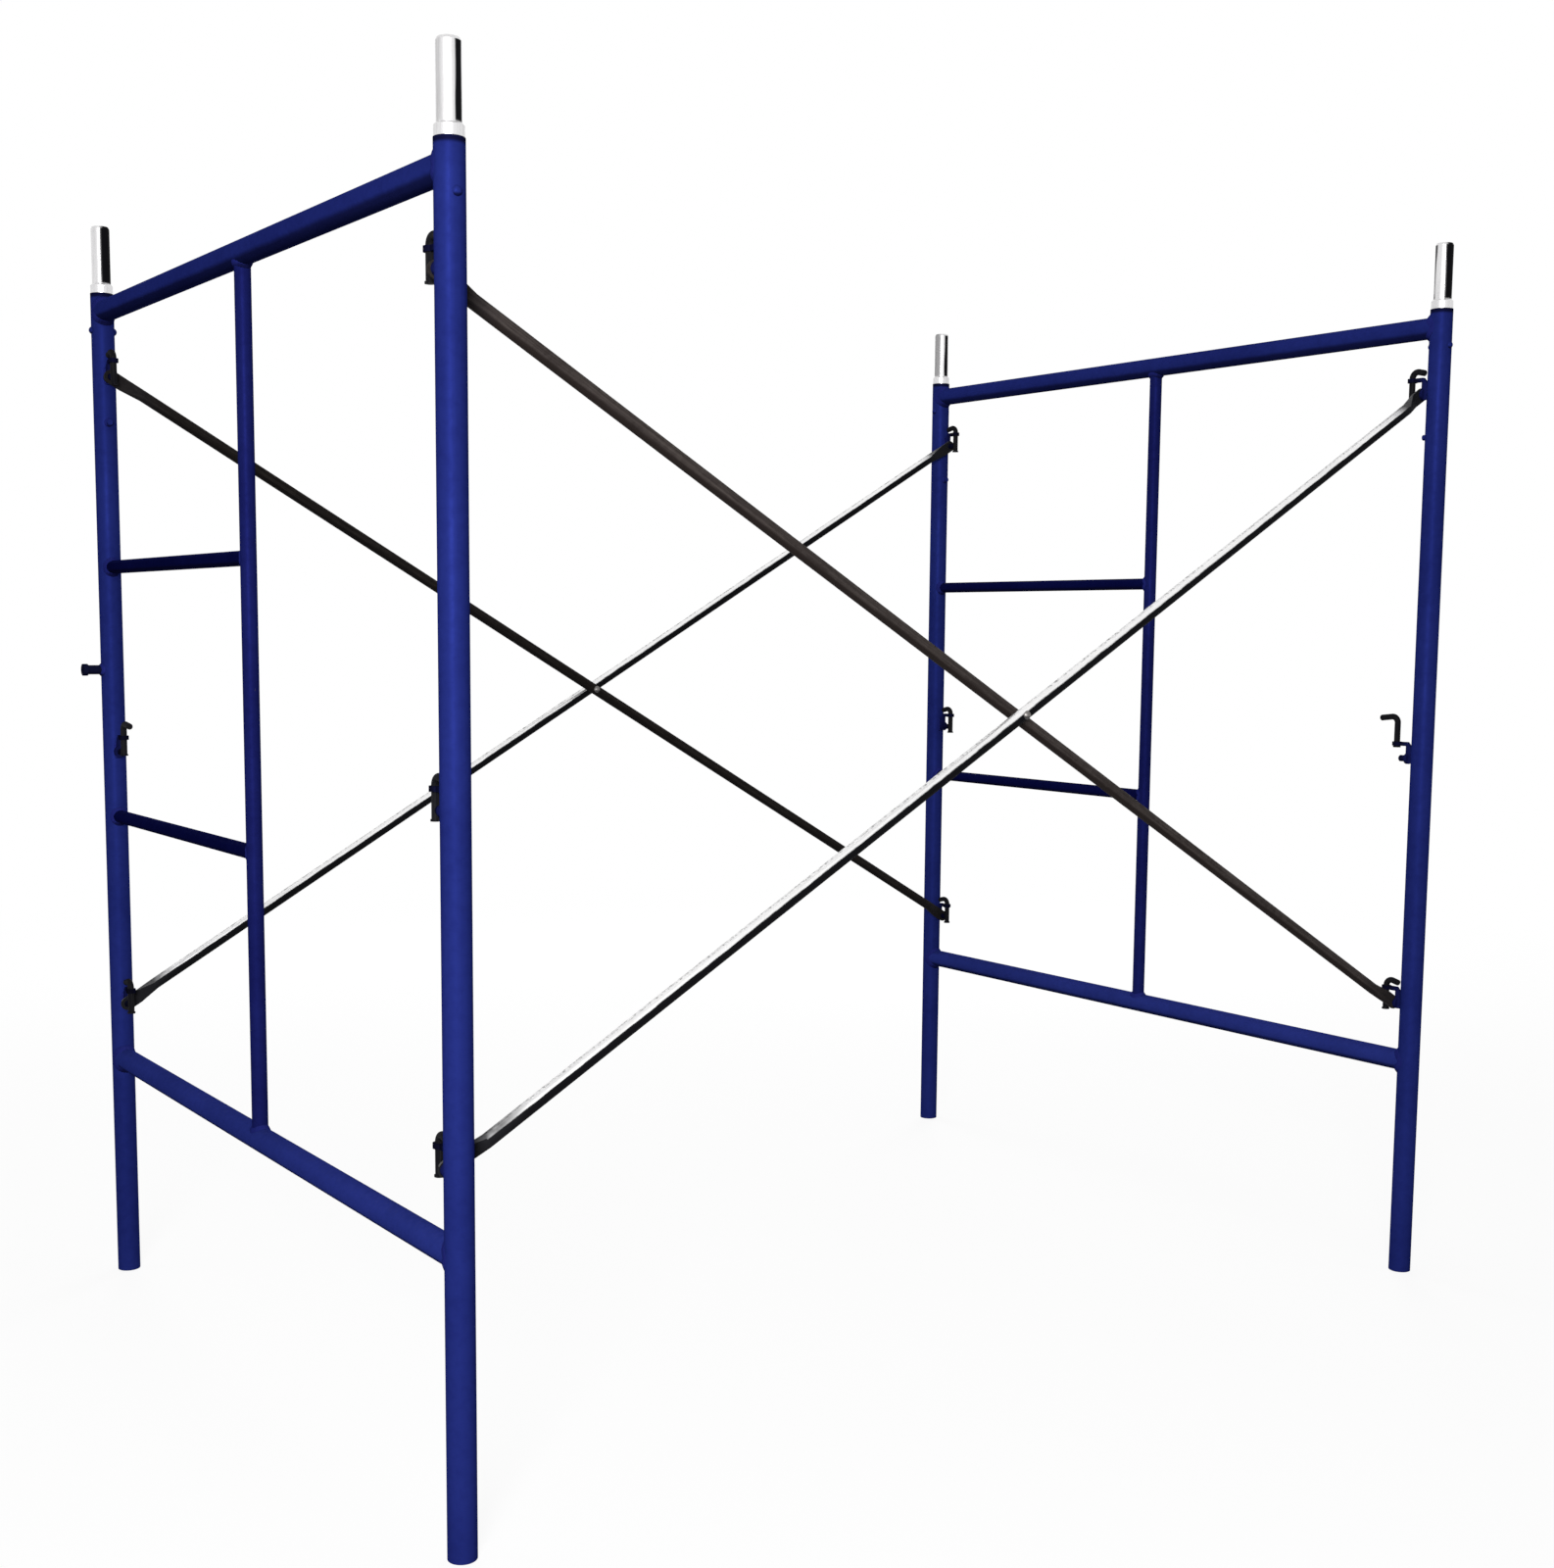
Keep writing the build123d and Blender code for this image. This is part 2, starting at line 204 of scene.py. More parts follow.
def buildMottle():
    facts = mottleFacts
    group, kit, entry, leave = newGroup(
        "mottle",
        [
            ("Vector", vectorKind, None),
            ("Color", colorKind, None),
            ("Shade Color", colorKind, None),
            ("Amount", valueKind, 0.5),
            ("Slow Scale", valueKind, 5.0),
            ("Fine Scale", valueKind, 70.0),
            ("Peel Scale", valueKind, 420.0),
        ],
        [("Color", colorKind), ("Tone", valueKind), ("Height", valueKind)],
    )
    slow = kit.noise(entry["Vector"], entry["Slow Scale"], 3.0, 0.55)
    fine = kit.noise(entry["Vector"], entry["Fine Scale"], 4.0, 0.6)
    slowTone = kit.ramp(slow, *facts["slowBand"], 0.0, facts["slowShare"])
    fineTone = kit.ramp(fine, *facts["fineBand"], 0.0, facts["fineShare"])
    tone = kit.math("ADD", slowTone, fineTone)
    share = kit.math("MULTIPLY", tone, entry["Amount"])
    kit.put(leave["Color"], kit.mixColor(share, entry["Color"], entry["Shade Color"]))
    kit.put(leave["Tone"], tone)
    kit.put(leave["Height"], kit.noise(entry["Vector"], entry["Peel Scale"], 1.0))
    return group


# shade and dust: painted shade on faces turned down, dust on faces turned up, which the zinc braces take in a
# dark colour as painted shade along their tops
shadeAndDustFacts = dict(raggedScale=28.0, speckScale=160.0, speckBand=(0.42, 0.70))


def buildShadeAndDust():
    facts = shadeAndDustFacts
    group, kit, entry, leave = newGroup(
        "shadeAndDust",
        [
            ("Vector", vectorKind, None),
            ("Color", colorKind, None),
            ("Grime Color", colorKind, (0.01, 0.01, 0.012, 1)),
            ("Grime", valueKind, 0.5),
            ("Grime Start", valueKind, 0.1),
            ("Grime Soft", valueKind, 0.28),
            ("Ragged", valueKind, 0.025),
            ("Dust Color", colorKind, (0.4, 0.39, 0.37, 1)),
            ("Dust", valueKind, 0.1),
            ("Dust Start", valueKind, 0.3),
            ("Dust Full", valueKind, 0.95),
        ],
        [("Color", colorKind), ("Cover", valueKind)],
    )
    normal = kit.node("ShaderNodeNewGeometry").outputs["Normal"]
    rise = kit.along("Z", normal)
    wander = kit.wander(entry["Vector"], facts["raggedScale"], 1.0, 4.0, 0.6)
    ragged = kit.math("ADD", rise, kit.math("MULTIPLY", wander, entry["Ragged"]))
    down = kit.math("MULTIPLY", ragged, -1.0)
    # painted shade: darker where the face turns down
    under = kit.ramp(down, entry["Grime Start"], kit.math("ADD", entry["Grime Start"], entry["Grime Soft"]))
    underShade = kit.math("MULTIPLY", under, entry["Grime"], True)
    specks = kit.ramp(kit.noise(entry["Vector"], facts["speckScale"], 5.0, 0.7), *facts["speckBand"])
    # dust where the face turns up; dark on the zinc braces, as painted shade
    above = kit.ramp(rise, entry["Dust Start"], entry["Dust Full"])
    dustAndShade = kit.math("MULTIPLY", kit.math("MULTIPLY", above, specks), entry["Dust"], True)
    underShaded = kit.mixColor(underShade, entry["Color"], entry["Grime Color"])
    kit.put(leave["Color"], kit.mixColor(dustAndShade, underShaded, entry["Dust Color"]))
    kit.put(leave["Cover"], kit.math("MAXIMUM", underShade, dustAndShade))
    return group


# drawn: fine lines that run the length of a tube; the vector's first axis is along the tube
drawnFacts = dict(lineBand=(0.38, 0.68))


def buildDrawn():
    facts = drawnFacts
    group, kit, entry, leave = newGroup(
        "drawn",
        [
            ("Vector", vectorKind, None),
            ("Color", colorKind, None),
            ("Line Color", colorKind, None),
            ("Amount", valueKind, 0.5),
            ("Line Scale", valueKind, 260.0),
            ("Stretch", valueKind, 0.03),
        ],
        [("Color", colorKind), ("Lines", valueKind)],
    )
    scale = kit.node("ShaderNodeCombineXYZ", None, X=entry["Stretch"], Y=1.0, Z=1.0).outputs[0]
    lines = kit.noise(kit.stretched(entry["Vector"], scale), entry["Line Scale"], 3.0, 0.65)
    mask = kit.ramp(lines, *facts["lineBand"])
    share = kit.math("MULTIPLY", mask, entry["Amount"])
    kit.put(leave["Color"], kit.mixColor(share, entry["Color"], entry["Line Color"]))
    kit.put(leave["Lines"], mask)
    return group


# spangle: the flakes that zinc sets in, each with its own tone
spangleFacts = dict(warpScale=90.0, warpShare=0.012)


def buildSpangle():
    facts = spangleFacts
    group, kit, entry, leave = newGroup(
        "spangle",
        [
            ("Vector", vectorKind, None),
            ("Color", colorKind, None),
            ("Flake Color", colorKind, None),
            ("Amount", valueKind, 0.5),
            ("Scale", valueKind, 120.0),
        ],
        [("Color", colorKind), ("Flake", valueKind)],
    )
    warp = kit.node("ShaderNodeTexNoise", None, Vector=entry["Vector"], Scale=facts["warpScale"], Detail=2.0)
    warped = kit.node("ShaderNodeMix", {"data_type": "VECTOR"})
    kit.put(warped.inputs["Factor"], facts["warpShare"])
    kit.put(warped.inputs[4], entry["Vector"])
    kit.put(warped.inputs[5], warp.outputs["Color"])
    flakes = kit.node("ShaderNodeTexVoronoi", None, Vector=warped.outputs[1], Scale=entry["Scale"])
    flake = kit.node("ShaderNodeSeparateColor", None, Color=flakes.outputs["Color"]).outputs["Red"]
    share = kit.math("MULTIPLY", flake, entry["Amount"])
    kit.put(leave["Color"], kit.mixColor(share, entry["Color"], entry["Flake Color"]))
    kit.put(leave["Flake"], flake)
    return group


# chips: small spots where the coat has come off
chipFacts = dict(leastSpot=0.80, amountDrop=0.16, edgeSoft=0.012)


def buildChips():
    facts = chipFacts
    group, kit, entry, leave = newGroup(
        "chips",
        [
            ("Vector", vectorKind, None),
            ("Color", colorKind, None),
            ("Bare Color", colorKind, None),
            ("Amount", valueKind, 0.5),
            ("Scale", valueKind, 34.0),
        ],
        [("Color", colorKind), ("Bare", valueKind)],
    )
    spots = kit.noise(entry["Vector"], entry["Scale"], 6.0, 0.68)
    drop = kit.math("MULTIPLY", entry["Amount"], facts["amountDrop"])
    edge = kit.math("SUBTRACT", facts["leastSpot"], drop)
    bare = kit.ramp(spots, edge, kit.math("ADD", edge, facts["edgeSoft"]))
    kit.put(leave["Color"], kit.mixColor(bare, entry["Color"], entry["Bare Color"]))
    kit.put(leave["Bare"], bare)
    return group


mottleGroup = buildMottle()
shadeAndDustGroup = buildShadeAndDust()
drawnGroup = buildDrawn()
spangleGroup = buildSpangle()
chipsGroup = buildChips()
print("shader groups built")


def newMaterial(name):
    material = bpy.data.materials.new(name)
    material.use_nodes = True
    kit = NodeKit(material.node_tree)
    shader = material.node_tree.nodes["Principled BSDF"]
    place = kit.node("ShaderNodeTexCoord").outputs["Object"]
    return material, kit, shader, place


def placeGroup(kit, group, **inputs):
    made = kit.tree.nodes.new("ShaderNodeGroup")
    made.node_tree = group
    for key, value in inputs.items():
        kit.put(made.inputs[key.replace("_", " ")], value)
    return made.outputs


def bumpFrom(kit, shader, height, distance):
    made = kit.node("ShaderNodeBump", None, Height=height, Distance=distance, Strength=1.0)
    kit.put(shader.inputs["Normal"], made.outputs["Normal"])


def rgb(red, green, blue):
    return (red, green, blue, 1.0)


uprightTurn = math.radians(90)  # lays an upright piece along X, for the drawn lines

# blue powder coat, in a tone for each kind of piece
blueCoat = dict(
    # painted shade for the undersides; the legs' top rims take the same colour
    underShade=rgb(0.003, 0.003, 0.014),
    dustAndShade=rgb(0.07, 0.08, 0.20),
    bare=rgb(0.07, 0.065, 0.065),
    mottling=0.55,
    underShadeStart=0.25,
    underShadeSoft=0.40,
    dustAmount=0.08,
    rough=(0.42, 0.54),
    coverRough=0.72,
    metallic=0.12,  # the flake that gives the coat its soft sheen
    specular=0.0,
    edgeTint=rgb(0.05, 0.06, 0.25),
    rimFrom=0.011,  # the legs' top rims are black from this far below their ends
    rimFull=0.005,
    rimShare=0.9,
    lockDark=rgb(0.003, 0.003, 0.007),
    lockDarkFrom=0.024,  # how far in from the leg's axis the locks begin to darken
    lockDarkFull=0.050,
    chipRelief=2.5,
    peelDepth=0.00006,
)
blueTones = dict(
    blueCoat=dict(color=rgb(0.0125, 0.0200, 0.140), shade=rgb(0.0070, 0.0110, 0.088)),
    # the bottom bar, a lighter copy of the coat: painted light
    blueBottomBar=dict(color=rgb(0.018, 0.028, 0.180), shade=rgb(0.011, 0.018, 0.120)),
    # the ladders, darker copies of the coat: painted shade
    bluePost=dict(color=rgb(0.008, 0.011, 0.090), shade=rgb(0.004, 0.005, 0.050)),
    blueRung=dict(color=rgb(0.003, 0.004, 0.045), shade=rgb(0.001, 0.0015, 0.022)),
    # the locks, a darker copy of the coat: painted shade
    blueLock=dict(
        color=rgb(0.009, 0.012, 0.085), shade=rgb(0.005, 0.006, 0.040), chips=0.6, underShade=0.6, darkens=True
    ),
    blueWeld=dict(color=rgb(0.014, 0.018, 0.140), shade=rgb(0.0070, 0.0110, 0.088), chips=0.2),
    blueStub=dict(color=rgb(0.005, 0.006, 0.022), shade=rgb(0.005, 0.006, 0.022), chips=0.2),
)


def makeBlueCoat(name, color, shade, chips=0.35, underShade=0.72, darkens=False):
    facts = blueCoat
    material, kit, shader, place = newMaterial(name)
    base = color
    if darkens:
        # the ear and the stud are black, darker away from the leg
        fromMiddle = kit.math("SUBTRACT", kit.along("Y", place), float(groundCentre[1]))
        fromMiddle = kit.math("ABSOLUTE", fromMiddle)
        full, start = (frameHalf - facts[key] for key in ("lockDarkFull", "lockDarkFrom"))
        base = kit.mixColor(kit.ramp(fromMiddle, full, start), facts["lockDark"], color)
    mottled = placeGroup(
        kit, mottleGroup, Vector=place, Color=base, Shade_Color=shade, Amount=facts["mottling"]
    )
    worn = placeGroup(
        kit, chipsGroup, Vector=place, Color=mottled["Color"], Bare_Color=facts["bare"], Amount=chips
    )
    # painted shade on the undersides of the tubes, and dust on their tops
    shadedAndDusted = placeGroup(
        kit,
        shadeAndDustGroup,
        Vector=place,
        Color=worn["Color"],
        Grime_Color=facts["underShade"],
        Grime=underShade,
        Grime_Start=facts["underShadeStart"],
        Grime_Soft=facts["underShadeSoft"],
        Dust_Color=facts["dustAndShade"],
        Dust=facts["dustAmount"],
    )
    # the legs' top rims are black, in the colour of the painted under-shade
    rimStart, rimEnd = legTop - facts["rimFrom"], legTop - facts["rimFull"]
    rim = kit.ramp(kit.along("Z", place), rimStart, rimEnd, 0.0, facts["rimShare"])
    kit.put(shader.inputs["Base Color"], kit.mixColor(rim, shadedAndDusted["Color"], facts["underShade"]))
    rough = kit.mixValue(mottled["Tone"], *facts["rough"])
    covered = kit.math("MAXIMUM", worn["Bare"], shadedAndDusted["Cover"])
    kit.put(shader.inputs["Roughness"], kit.mixValue(covered, rough, facts["coverRough"]))
    shader.inputs["Metallic"].default_value = facts["metallic"]
    shader.inputs["Specular IOR Level"].default_value = facts["specular"]
    shader.inputs["Specular Tint"].default_value = facts["edgeTint"]
    chipped = kit.math("MULTIPLY", worn["Bare"], facts["chipRelief"])
    bumpFrom(kit, shader, kit.math("SUBTRACT", mottled["Height"], chipped), facts["peelDepth"])
    return material


blueMaterials = {name: makeBlueCoat(name, **tone) for name, tone in blueTones.items()}
print("blue coat made")

# zinc on the braces, in a lit copy and shaded copies: the rising ones bright and black below as painted
# shade, the falling ones dark brown all over as painted shade
zincCoat = dict(
    spangle=0.6,
    mottling=0.35,
    mottleScale=9.0,
    flakeRough=0.8,
    coverRough=0.7,
    specular=0.03,
    lineRelief=0.4,
    peelRelief=0.5,
    reliefDepth=0.00005,
    endDarkFrom=0.115,  # metres from the frame's plane
    endDarkFull=0.045,
    endDarkScale=22.0,
    endDarkWander=0.02,
)
litZinc = dict(
    color=rgb(0.93, 0.925, 0.92),
    flake=rgb(0.80, 0.80, 0.81),
    line=rgb(0.60, 0.59, 0.59),
    underShade=rgb(0.004, 0.004, 0.005),
    metallic=0.90,
    rough=(0.28, 0.42),
    lines=0.30,
    # painted shade over all but the upper part of the tube
    underShadeAmount=1.0,
    underShadeStart=-0.50,
    underShadeSoft=0.12,
    # painted shade: dark along the very top of the tube
    dustAndShade=0.85,
    topShadeColor=rgb(0.05, 0.05, 0.05),
    topShadeStart=0.80,  # only along the very top of the tube
    topShadeFull=0.85,
    endDarkening=0.92,
    endColor=rgb(0.012, 0.012, 0.014),
)
shadedZinc = dict(
    color=rgb(0.040, 0.033, 0.031),
    flake=rgb(0.023, 0.018, 0.017),
    line=rgb(0.13, 0.11, 0.10),
    underShade=rgb(0.015, 0.011, 0.010),
    metallic=0.25,
    rough=(0.55, 0.75),
    lines=0.30,
    underShadeAmount=0.92,
    underShadeStart=0.30,
    underShadeSoft=0.30,
    dustAndShade=2.0,
    topShadeColor=rgb(0.015, 0.011, 0.010),
    topShadeStart=0.35,
    topShadeFull=0.75,
    endDarkening=0.6,
    endColor=rgb(0.012, 0.011, 0.012),
)
# the far falling brace, a still darker shaded copy: painted shade
darkShadedZinc = dict(
    shadedZinc,
    color=rgb(0.010, 0.008, 0.007),
    flake=rgb(0.006, 0.005, 0.005),
    line=rgb(0.040, 0.034, 0.032),
    underShade=rgb(0.005, 0.004, 0.004),
    topShadeColor=rgb(0.005, 0.004, 0.004),
)


def makeZinc(name, facts, slope):
    coat = zincCoat
    material, kit, shader, place = newMaterial(name)
    turned = kit.turned(place, slope)
    spangled = placeGroup(
        kit,
        spangleGroup,
        Vector=turned,
        Color=facts["color"],
        Flake_Color=facts["flake"],
        Amount=coat["spangle"],
    )
    lined = placeGroup(
        kit,
        drawnGroup,
        Vector=turned,
        Color=spangled["Color"],
        Line_Color=facts["line"],
        Amount=facts["lines"],
    )
    mottled = placeGroup(
        kit,
        mottleGroup,
        Vector=turned,
        Color=lined["Color"],
        Shade_Color=facts["flake"],
        Amount=coat["mottling"],
        Slow_Scale=coat["mottleScale"],
    )
    # painted shade: on the rising braces black below their upper part, on the falling ones over their
    # undersides and tops
    shadedAndDusted = placeGroup(
        kit,
        shadeAndDustGroup,
        Vector=turned,
        Color=mottled["Color"],
        Grime_Color=facts["underShade"],
        Grime=facts["underShadeAmount"],
        Grime_Start=facts["underShadeStart"],
        Grime_Soft=facts["underShadeSoft"],
        Dust_Color=facts["topShadeColor"],
        Dust=facts["dustAndShade"],
        Dust_Start=facts["topShadeStart"],
        Dust_Full=facts["topShadeFull"],
    )
    # darker towards both ends
    fromMiddle = kit.math("SUBTRACT", kit.along("X", place), float(groundCentre[0]))
    fromMiddle = kit.math("ABSOLUTE", fromMiddle)
    wander = kit.wander(place, coat["endDarkScale"], coat["endDarkWander"], 3.0)
    ragged = kit.math("ADD", fromMiddle, wander)
    endDark = kit.ramp(ragged, bayHalf - coat["endDarkFrom"], bayHalf - coat["endDarkFull"])
    endDark = kit.math("MULTIPLY", endDark, facts["endDarkening"])
    kit.put(shader.inputs["Base Color"], kit.mixColor(endDark, shadedAndDusted["Color"], facts["endColor"]))
    covered = kit.math("MAXIMUM", shadedAndDusted["Cover"], endDark)
    kit.put(shader.inputs["Metallic"], kit.mixValue(covered, facts["metallic"], 0.0))
    shader.inputs["Specular IOR Level"].default_value = coat["specular"]
    rough = kit.mixValue(kit.math("MULTIPLY", spangled["Flake"], coat["flakeRough"]), *facts["rough"])
    kit.put(shader.inputs["Roughness"], kit.mixValue(shadedAndDusted["Cover"], rough, coat["coverRough"]))
    lineHeight = kit.math("MULTIPLY", lined["Lines"], coat["lineRelief"])
    peelHeight = kit.math("MULTIPLY", mottled["Height"], coat["peelRelief"])
    bumpFrom(kit, shader, kit.math("ADD", lineHeight, peelHeight), coat["reliefDepth"])
    return material


risingMaterial = makeZinc("litZinc", litZinc, braceSlope)
fallingMaterial = makeZinc("shadedZinc", shadedZinc, -braceSlope)
farFallingMaterial = makeZinc("darkShadedZinc", darkShadedZinc, -braceSlope)

# bright zinc on the coupling pins, with dark streaks of painted reflection where their faces turn certain
# ways
pinZinc = dict(
    color=rgb(0.76, 0.755, 0.76),
    line=rgb(0.40, 0.39, 0.40),
    reflectionStreak=rgb(0.004, 0.004, 0.005),
    underShade=rgb(0.05, 0.045, 0.05),
    lines=0.4,
    lineScale=330.0,
    underShadeAmount=0.6,
    dustAndShade=0.05,
    rough=(0.24, 0.40),
    reflectionStreakRough=0.6,
    metallic=0.9,
    specular=0.02,
    reliefDepth=0.00003,
    patchScale=9.0,
    patchWander=0.02,
    edgeSoft=0.25,
    streakBase=(0.015, 0.021),  # above the end of the leg, so the collar stays free of the streaks
    # each pin's painted reflection streaks: the way they face and their half width in degrees, and their
    # strength
    reflectionStreaks={
        ("left", "near"): ((-67.0, 22.0, 1.0), (-170.0, 22.0, 0.25)),
        ("left", "far"): ((-63.0, 47.0, 1.0),),
        ("right", "near"): ((-95.0, 40.0, 1.0), (152.0, 12.0, 0.9)),
        ("right", "far"): ((-86.0, 20.0, 1.0), (-178.0, 42.0, 0.5)),
    },
)


def makePinZinc(frameName, side):
    facts = pinZinc
    material, kit, shader, place = newMaterial(f"pinZinc_{frameName}_{side}")
    lined = placeGroup(
        kit,
        drawnGroup,
        Vector=kit.turned(place, uprightTurn),
        Color=facts["color"],
        Line_Color=facts["line"],
        Amount=facts["lines"],
        Line_Scale=facts["lineScale"],
    )
    normal = kit.node("ShaderNodeNewGeometry").outputs["Normal"]
    patchy = kit.wander(place, facts["patchScale"], facts["patchWander"])
    # painted reflection: the pin is dark where its face turns one of these ways
    streaks = 0.0
    for compass, halfWidth, strength in facts["reflectionStreaks"][frameName, side]:
        way, spread = math.radians(compass), math.radians(halfWidth)
        facing = kit.node("ShaderNodeVectorMath", {"operation": "DOT_PRODUCT"})
        kit.put(facing.inputs[0], normal)
        kit.put(facing.inputs[1], (math.cos(way), math.sin(way), 0.0))
        edge = math.cos(spread)
        soft = facts["edgeSoft"] * math.sin(spread) * spread
        near = kit.math("ADD", facing.outputs["Value"], patchy)
        streaks = kit.math("MAXIMUM", streaks, kit.ramp(near, edge - soft, edge + soft, 0.0, strength))
    base, full = (legTop + rise for rise in facts["streakBase"])
    streaked = kit.math("MULTIPLY", streaks, kit.ramp(kit.along("Z", place), base, full))
    # painted shade on the faces turned down, and dust on those turned up
    shadedAndDusted = placeGroup(
        kit,
        shadeAndDustGroup,
        Vector=place,
        Color=kit.mixColor(streaked, lined["Color"], facts["reflectionStreak"]),
        Grime_Color=facts["underShade"],
        Grime=facts["underShadeAmount"],
        Dust=facts["dustAndShade"],
    )
    kit.put(shader.inputs["Base Color"], shadedAndDusted["Color"])
    kit.put(shader.inputs["Metallic"], kit.mixValue(streaked, facts["metallic"], 0.0))
    shader.inputs["Specular IOR Level"].default_value = facts["specular"]
    rough = kit.mixValue(lined["Lines"], *facts["rough"])
    kit.put(shader.inputs["Roughness"], kit.mixValue(streaked, rough, facts["reflectionStreakRough"]))
    bumpFrom(kit, shader, lined["Lines"], facts["reliefDepth"])
    return material


pinMaterials = {(f, s): makePinZinc(f, s) for f in frameNames for s in sideNames}

# blackened bar
blackBar = dict(
    color=rgb(0.004, 0.004, 0.006),
    shade=rgb(0.008, 0.008, 0.010),
    rub=rgb(0.035, 0.033, 0.032),
    fineScale=150.0,
    lines=0.22,
    lineScale=500.0,
    rough=(0.50, 0.66),
    metallic=0.05,
    specular=0.02,
    reliefDepth=0.00006,
)


def makeBlackBar():
    facts = blackBar
    material, kit, shader, place = newMaterial("blackBar")
    mottled = placeGroup(
        kit,
        mottleGroup,
        Vector=place,
        Color=facts["color"],
        Shade_Color=facts["shade"],
        Fine_Scale=facts["fineScale"],
    )
    rubbed = placeGroup(
        kit,
        drawnGroup,
        Vector=kit.turned(place, uprightTurn),
        Color=mottled["Color"],
        Line_Color=facts["rub"],
        Amount=facts["lines"],
        Line_Scale=facts["lineScale"],
    )
    kit.put(shader.inputs["Base Color"], rubbed["Color"])
    shader.inputs["Metallic"].default_value = facts["metallic"]
    shader.inputs["Specular IOR Level"].default_value = facts["specular"]
    kit.put(shader.inputs["Roughness"], kit.mixValue(mottled["Tone"], *facts["rough"]))
    bumpFrom(kit, shader, mottled["Height"], facts["reliefDepth"])
    return material


# grey zinc on the rivets of the braces
rivetZinc = dict(
    color=rgb(0.20, 0.19, 0.185),
    shade=rgb(0.09, 0.085, 0.08),
    fineScale=180.0,
    underShadeAmount=0.7,
    dustAndShade=0.1,
    rough=(0.35, 0.55),
    metallic=0.85,
    reliefDepth=0.00006,
)


def makeRivetZinc():
    facts = rivetZinc
    material, kit, shader, place = newMaterial("rivetZinc")
    mottled = placeGroup(
        kit,
        mottleGroup,
        Vector=place,
        Color=facts["color"],
        Shade_Color=facts["shade"],
        Fine_Scale=facts["fineScale"],
    )
    # painted shade on the faces turned down, and dust on those turned up
    shadedAndDusted = placeGroup(
        kit,
        shadeAndDustGroup,
        Vector=place,
        Color=mottled["Color"],
        Grime=facts["underShadeAmount"],
        Dust=facts["dustAndShade"],
    )
    kit.put(shader.inputs["Base Color"], shadedAndDusted["Color"])
    shader.inputs["Metallic"].default_value = facts["metallic"]
    kit.put(shader.inputs["Roughness"], kit.mixValue(mottled["Tone"], *facts["rough"]))
    bumpFrom(kit, shader, mottled["Height"], facts["reliefDepth"])
    return material


barMaterial = makeBlackBar()
rivetMaterial = makeRivetZinc()
print("zinc and black steel made")


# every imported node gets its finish, by the end of its name; the first that fits is taken
finishes = (
    ("drop_bar", barMaterial),
    ("rising_brace", risingMaterial),
    ("far_falling_brace", farFallingMaterial),
    ("falling_brace", fallingMaterial),
    ("brace_rivet", rivetMaterial),
    ("lock", blueMaterials["blueLock"]),
    ("stub", blueMaterials["blueStub"]),
    ("bottom_bar", blueMaterials["blueBottomBar"]),
    ("ladder_post", blueMaterials["bluePost"]),
    ("rung", blueMaterials["blueRung"]),
)


def finishFor(name):
    if name.endswith("coupling_pin"):
        return pinMaterials[tuple(name.split("_")[:2])]
    for ending, material in finishes:
        if name.endswith(ending):
            return material
    return blueMaterials["blueCoat"]


for name, piece in nodes.items():
    for slot in piece.material_slots:
        slot.material = finishFor(name)
print("finishes placed on the packed nodes")


# weld beads, all painted over: each is a grid of points, rings along it by points round its section
def gridFaces(rings, points):
    # quads between neighbouring rings, closed both ways round
    ring, point = np.meshgrid(np.arange(rings), np.arange(points), indexing="ij")
    nextRing, nextPoint = (ring + 1) % rings, (point + 1) % points
    corners = ((ring, point), (nextRing, point), (nextRing, nextPoint), (ring, nextPoint))
    return np.stack([r * points + p for r, p in corners], axis=-1).reshape(-1, 4)


def outwardFaces(grid):
    # the signed volume says which way round the closed surface's quads have to run
    rings, points = grid.shape[:2]
    faces = gridFaces(rings, points)
    flat = grid.reshape(-1, 3)
    first, second, third, fourth = (flat[faces[:, k]] - flat.mean(axis=0) for k in range(4))
    volume = np.einsum("ij,ij->", first, np.cross(second - first, third - first))
    volume += np.einsum("ij,ij->", first, np.cross(third - first, fourth - first))
    return faces if volume > 0 else faces[:, ::-1]


def pieceFromGrids(name, grids, material, body="scaffold"):
    points, faces, start = [], [], 0
    for grid in grids:
        points.append(grid.reshape(-1, 3))
        faces.append(outwardFaces(grid) + start)
        start += points[-1].shape[0]
    mesh = bpy.data.meshes.new(name)
    mesh.from_pydata(np.concatenate(points).tolist(), [], np.concatenate(faces).tolist())
    mesh.polygons.foreach_set("use_smooth", np.ones(len(mesh.polygons), dtype=bool))
    mesh.materials.append(material)
    piece = bpy.data.objects.new(name, mesh)
    bpy.context.scene.collection.objects.link(piece)
    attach(piece, body)


def unit(vectors):
    return vectors / np.linalg.norm(vectors, axis=-1, keepdims=True)


filletWeld = dict(
    crown=0.0010,
    bow=0.36,
    sink=0.0003,  # of the bead's edges under the walls
    inset=0.0011,  # of the point inside both walls
    alongPitch=0.0009,
    alongLeast=48,
    acrossPoints=9,
    ripplePitch=0.0042,
    rippleDepth=0.00035,
    ripplePower=0.7,
    swell=0.07,
    wobble=0.05,
    wobbleWaves=(2, 3, 5),
)


